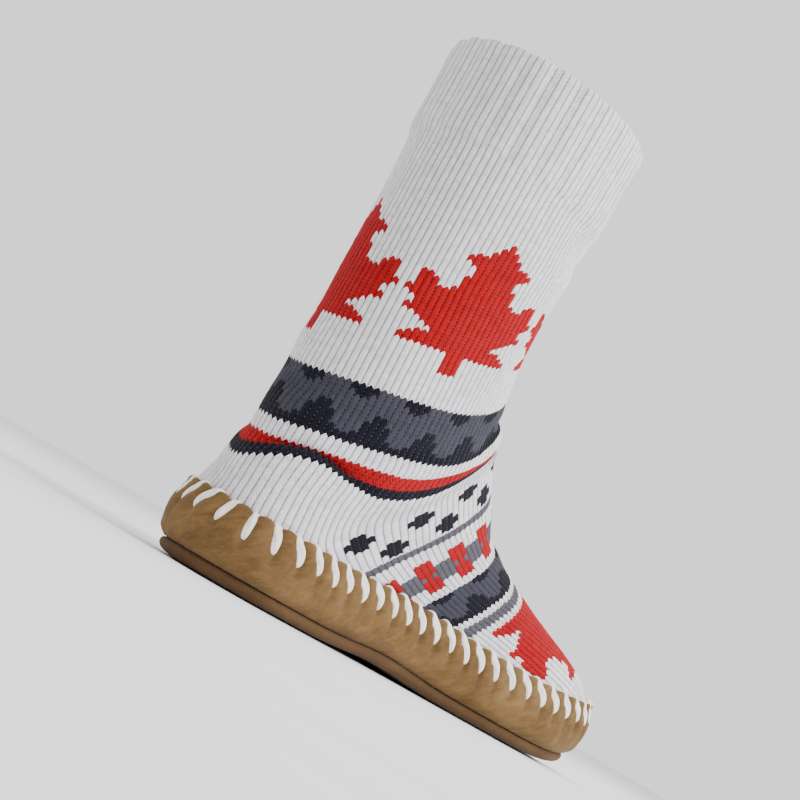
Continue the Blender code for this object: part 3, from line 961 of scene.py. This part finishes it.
def whip_stitches(bottom, finish):
    """Stitches of thick soft yarn over the edge, each of three loosely twisted strands drawn to a point."""
    random = np.random.default_rng(11)
    points, faces = [], []
    s = np.linspace(0, 1, STITCH_RINGS)
    for stitch in range(STITCHES):
        column = stitch * COLUMNS_PER_STITCH + random.normal(0, 0.25)
        depth = STITCH_DEPTH * random.uniform(0.93, 1.07)
        path, side, out = stitch_path(bottom, column, depth, s)
        taper = flow((0, 0.3, 0.62, 0.86, 1), (0.5, 0.85, 1.0, 0.72, 0.22), s) * random.uniform(0.94, 1.06)
        twist = random.uniform(0, 2 * math.pi)
        for strand in range(STRANDS):
            turn = twist + 2 * math.pi * (strand / STRANDS + 0.35 * s)
            radius = 0.30 * YARN_WIDTH * taper
            middle = path + side * (np.cos(turn) * 0.20 * YARN_WIDTH * taper)[:, None]
            middle = middle + out * (np.sin(turn) * 0.12 * YARN_HEIGHT * taper)[:, None]
            first = len(points)
            for ring in range(STITCH_RINGS):
                for k in range(STRAND_SIDES):
                    a = 2 * math.pi * k / STRAND_SIDES
                    wide = math.cos(a) * radius[ring]
                    high = math.sin(a) * radius[ring] * YARN_HEIGHT / YARN_WIDTH * 1.25
                    points.append(middle[ring] + side[ring] * wide + out[ring] * high)
            faces += (grid_faces(STITCH_RINGS, STRAND_SIDES) + first).tolist()
            faces.append(list(range(first, first + STRAND_SIDES)))
            faces.append(list(range(first + (STITCH_RINGS - 1) * STRAND_SIDES, len(points)))[::-1])
    make_piece("whip_stitches", np.array(points), faces, finish)


def stitch_path(bottom, column, depth, s):
    """Middle line of one stitch from the knit over the edge and down the suede, with the directions across it
    and out from it."""
    over = np.clip(s / OVER_SHARE, 0, 1)
    down = np.clip((s - OVER_SHARE) / (1 - OVER_SHARE), 0, 1)
    at = np.full(len(s), column)
    columns = column + swept(bottom, at, down) - (1 - over) * STITCH_LEAD * bottom.around(bottom.lean, at)
    height = bottom.around(bottom.edge, columns) - bottom.around(bottom.seam, columns)
    face, out = wall_surface(bottom, columns, 1 - down * depth / height)
    angle = math.pi * (1 - over)
    half = edge_width(bottom, columns) / 2
    inward = (half + 0.3 * YARN_HEIGHT) * (1 - np.cos(angle))
    rise = (0.5 * EDGE_THICKNESS + 0.42 * YARN_HEIGHT) * np.sin(angle)
    sink = np.clip((down - 0.80) / 0.20, 0, 1) ** 1.6 * 0.9 * YARN_HEIGHT
    up = np.array([0, 0, 1.0])
    path = face + out * (0.36 * YARN_HEIGHT - sink - inward)[:, None] + up * rise[:, None]
    for _ in range(PATH_SMOOTHING):
        path[1:-1] = (path[:-2] + 2 * path[1:-1] + path[2:]) / 4
    along = np.gradient(path, axis=0)
    along /= np.linalg.norm(along, axis=1)[:, None]
    outward = out * np.cos(angle * (over < 1))[:, None] + up * np.sin(angle * (over < 1))[:, None]
    outward = outward - along * (outward * along).sum(1)[:, None]
    outward /= np.linalg.norm(outward, axis=1)[:, None]
    return path, np.cross(along, outward), outward


# Sole and insole

def rung_grid(loop, steps):
    """Points from side to side of a closed loop that starts at the toe, a row for each pair of its points."""
    pick = np.arange(len(loop) // 2 + 1)
    left, right = loop[-pick % len(loop)], loop[pick]
    share = np.linspace(0, 1, steps + 1)[None, :, None]
    return left[:, None] * (1 - share) + right[:, None] * share


def sole_rim(bottom, outsole, pick):
    """How far the sole reaches out from the outline of the foot."""
    place, out = bottom.around(bottom.place, pick), bottom.around(bottom.out, pick)
    side = np.concatenate([out, 0 * out[:, :1]], -1)
    reaches = []
    for lower in (0.35, 0.5, 0.65):
        height = bottom.around(bottom.seam, pick) - lower * SOLE_THICKNESS
        spot = np.concatenate([place, height[:, None]], -1)
        found = hits(outsole, spot + 0.03 * side, spot - 0.04 * side)
        reaches.append(((found - spot) * side).sum(-1))
    return bottom.filled(np.fmax.reduce(reaches)[None])[0]


def sole_pad(bottom, outsole, cloth):
    """The padded sole with its rounded edge and sunk seam, and the rows of points of its underside."""
    pick = np.linspace(0, WALL_COLUMNS, 2 * RUNGS, endpoint=False)
    out = bottom.around(bottom.out, pick)
    seam = bottom.around(bottom.seam, pick)
    rim = bottom.around(bottom.place, pick) + out * sole_rim(bottom, outsole, pick)[:, None]
    loops = []
    for inset, lower in SOLE_ROUNDING:
        flat = rim - out * inset * MM
        height = seam - 0.2 * MM - lower * (SOLE_THICKNESS - SOLE_CLOTH_RISE)
        loops.append(np.concatenate([flat, height[:, None]], -1))
    above, under = rung_grid(loops[0], RUNG_STEPS), rung_grid(loops[-1], RUNG_STEPS)
    faces = grid_faces(len(loops), len(pick)).tolist()
    first = len(loops) * len(pick)
    faces += (grid_faces(len(under), RUNG_STEPS + 1, around=False) + first).tolist()
    first += under.size // 3
    faces += (grid_faces(len(above), RUNG_STEPS + 1, around=False, flip=True) + first).tolist()
    points = np.concatenate([part.reshape(-1, 3) for part in (np.array(loops), under, above)])
    piece = make_piece("sole_pad", points, faces, cloth, merge=True)
    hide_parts("outsole")
    return under


def grip_dots(rungs, finish):
    """Small rubber domes in staggered rows under the sole."""
    inner = rungs.reshape(-1, 3)
    low, high = inner.min(0), inner.max(0)
    points, faces = [], []
    rows = int((high[1] - low[1]) / (DOT_SPACING * 0.75))
    edge_y = rungs[:, 0, 1]
    order = np.argsort(edge_y)
    for i in range(rows + 1):
        y = low[1] + 3 * MM + i * DOT_SPACING * 0.75
        if y > high[1] - 3 * MM:
            break
        left = np.interp(y, edge_y[order], rungs[order, 0, 0])
        right = np.interp(y, edge_y[order], rungs[order, -1, 0])
        z = np.interp(y, edge_y[order], rungs[order, 0, 2])
        z_right = np.interp(y, edge_y[order], rungs[order, -1, 2])
        shift = 0.5 * DOT_SPACING * (i % 2)
        count = int((high[0] - low[0]) / DOT_SPACING) + 1
        for k in range(count + 1):
            x = low[0] + shift + k * DOT_SPACING
            if not min(left, right) + 1.5 * MM < x < max(left, right) - 1.5 * MM:
                continue
            share = (x - left) / (right - left)
            add_dome(points, faces, np.array([x, y, z * (1 - share) + z_right * share]))
    make_piece("grip_dots", np.array(points), faces, finish)


def add_dome(points, faces, centre):
    first = len(points)
    sides, levels = 12, ((1.0, 0.05), (0.92, -0.16), (0.70, -0.28), (0.36, -0.34))
    for radius, drop in levels:
        for k in range(sides):
            a = 2 * math.pi * k / sides
            across, along = math.cos(a) * radius * DOT_RADIUS, math.sin(a) * radius * DOT_RADIUS
            points.append(centre + np.array([across, along, drop * MM]))
    faces += (grid_faces(len(levels), sides) + first).tolist()
    faces.append(list(range(len(points) - sides, len(points)))[::-1])


def fleece_pad(insole, finish):
    """The soft pad inside, crowned, with a curly face."""
    low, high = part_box("insole")
    middle = (np.array(low) + np.array(high)) / 2
    angle = 2 * math.pi * np.arange(240) / 240
    wide, long = (high.x - low.x) / 2, (high.y - low.y) / 2
    ray = np.stack([wide * np.sin(angle), -long * np.cos(angle), 0 * angle], -1)
    level = middle.copy()
    level[2] = low.z + 2.0 * MM
    loop = hits(insole, level + 1.6 * ray, level)
    bad = np.isnan(loop[:, 0])
    if bad.any():
        good = np.flatnonzero(~bad)
        for axis in range(3):
            loop[bad, axis] = np.interp(np.flatnonzero(bad), good, loop[good, axis], period=len(loop))
    rungs = rung_grid(loop, 40)
    top = hits(insole, rungs * [1, 1, 0] + [0, 0, 0.2], rungs * [1, 1, 0])
    found = np.where(np.isnan(top[..., 2]), low.z + 4 * MM, top[..., 2])
    rungs[..., 2] = np.maximum(found, low.z + 1.5 * MM)
    share = np.linspace(0, 1, 41)
    crown = 1.2 * MM * (1 - (2 * share - 1) ** 4)
    random = np.random.default_rng(5)
    curls = soften(soften(random.normal(0, 1, rungs.shape[:2]), 1.0, False).T, 1.0, False).T
    width = np.linalg.norm(rungs[:, -1] - rungs[:, 0], axis=1)[:, None]
    rungs[..., 2] += (crown + 0.9 * MM * curls * ease(8 * share * (1 - share))) * ease(width / (30 * MM))
    under = rungs.copy()
    under[..., 2] = low.z + 0.5 * MM
    rows, columns = rungs.shape[:2]
    points = np.concatenate([rungs.reshape(-1, 3), under.reshape(-1, 3)])
    shift = rows * columns
    faces = grid_faces(rows, columns, around=False, flip=True).tolist()
    faces += (grid_faces(rows, columns, around=False) + shift).tolist()
    for k in range(rows - 1):
        for column, turned in ((0, False), (columns - 1, True)):
            a, b = k * columns + column, (k + 1) * columns + column
            quad = [a, b, b + shift, a + shift]
            faces.append(quad[::-1] if turned else quad)
    piece = make_piece("fleece_insole", points, faces, finish, merge=True)
    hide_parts("insole")


def lining(base, normal, finish):
    """The inside of the sock, with the purl bumps of its back, down to the pad."""
    course = np.arange(0, COURSES - 3, 1.0)[:, None] + np.zeros((1, WALES * 2))
    wale = np.arange(WALES * 2)[None] / 2 + np.zeros((len(course), 1))
    at = course + dip(course, wale)
    point = sample_rows(base[:, ::COLUMNS_PER_WALE // 2], at)
    out = normal[np.floor(at).astype(int), np.arange(WALES * 2) * COLUMNS_PER_WALE // 2]
    bumps = 0.25 * MM * np.cos(2 * math.pi * wale) * np.cos(math.pi * course)
    fold = fold_shape(course, wale)[0]
    inner = point - out * (KNIT_WALL + 0.2 * MM + bumps - fold * 0.8)[..., None]
    inner[0, :, 2] = np.maximum(inner[0, :, 2], CAD_HIGH.z - 1.0 * MM)
    keep = inner[:-1, :, 2] > 11 * MM
    faces = grid_faces(len(course), WALES * 2, keep=keep, flip=True)
    return make_piece("knit_inside", inner, faces.tolist(), finish)


def build():
    upper, side_wall = tree_of("upper"), tree_of("side_wall")
    back = add_camera()
    add_studio(back)
    add_floor()
    bottom = Bottom(upper, side_wall)
    base, normal = sock_grid(upper)
    spots, heights = bottom.place, bottom.edge

    def edge(x, y):
        flat = np.stack([x, y], -1).reshape(-1, 2)
        found = np.empty(len(flat))
        for start in range(0, len(flat), 20000):
            part = flat[start:start + 20000]
            near = np.argmin(((part[:, None] - spots[None, ::7]) ** 2).sum(-1), 1)
            found[start:start + 20000] = heights[::7][near]
        return found.reshape(x.shape)

    knit = knit_material()
    cuff_end, leg_end = course_of("plain"), course_of("navy")
    pieces = [
        knit_piece("knit_cuff", base, normal, 0, cuff_end, knit, edge, rim=True),
        knit_piece("knit_leg", base, normal, cuff_end, leg_end, knit, edge),
        knit_piece("knit_foot", base, normal, leg_end, COURSES, knit, edge),
        lining(base, normal, lining_material()),
    ]
    for piece in pieces:
        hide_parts("upper")
    suede_wall(bottom, suede_material())
    whip_stitches(bottom, stitch_material())
    underside = sole_pad(bottom, tree_of("outsole"), sole_material())
    grip_dots(underside, dot_material())
    fleece_pad(tree_of("insole"), fleece_material())


build()
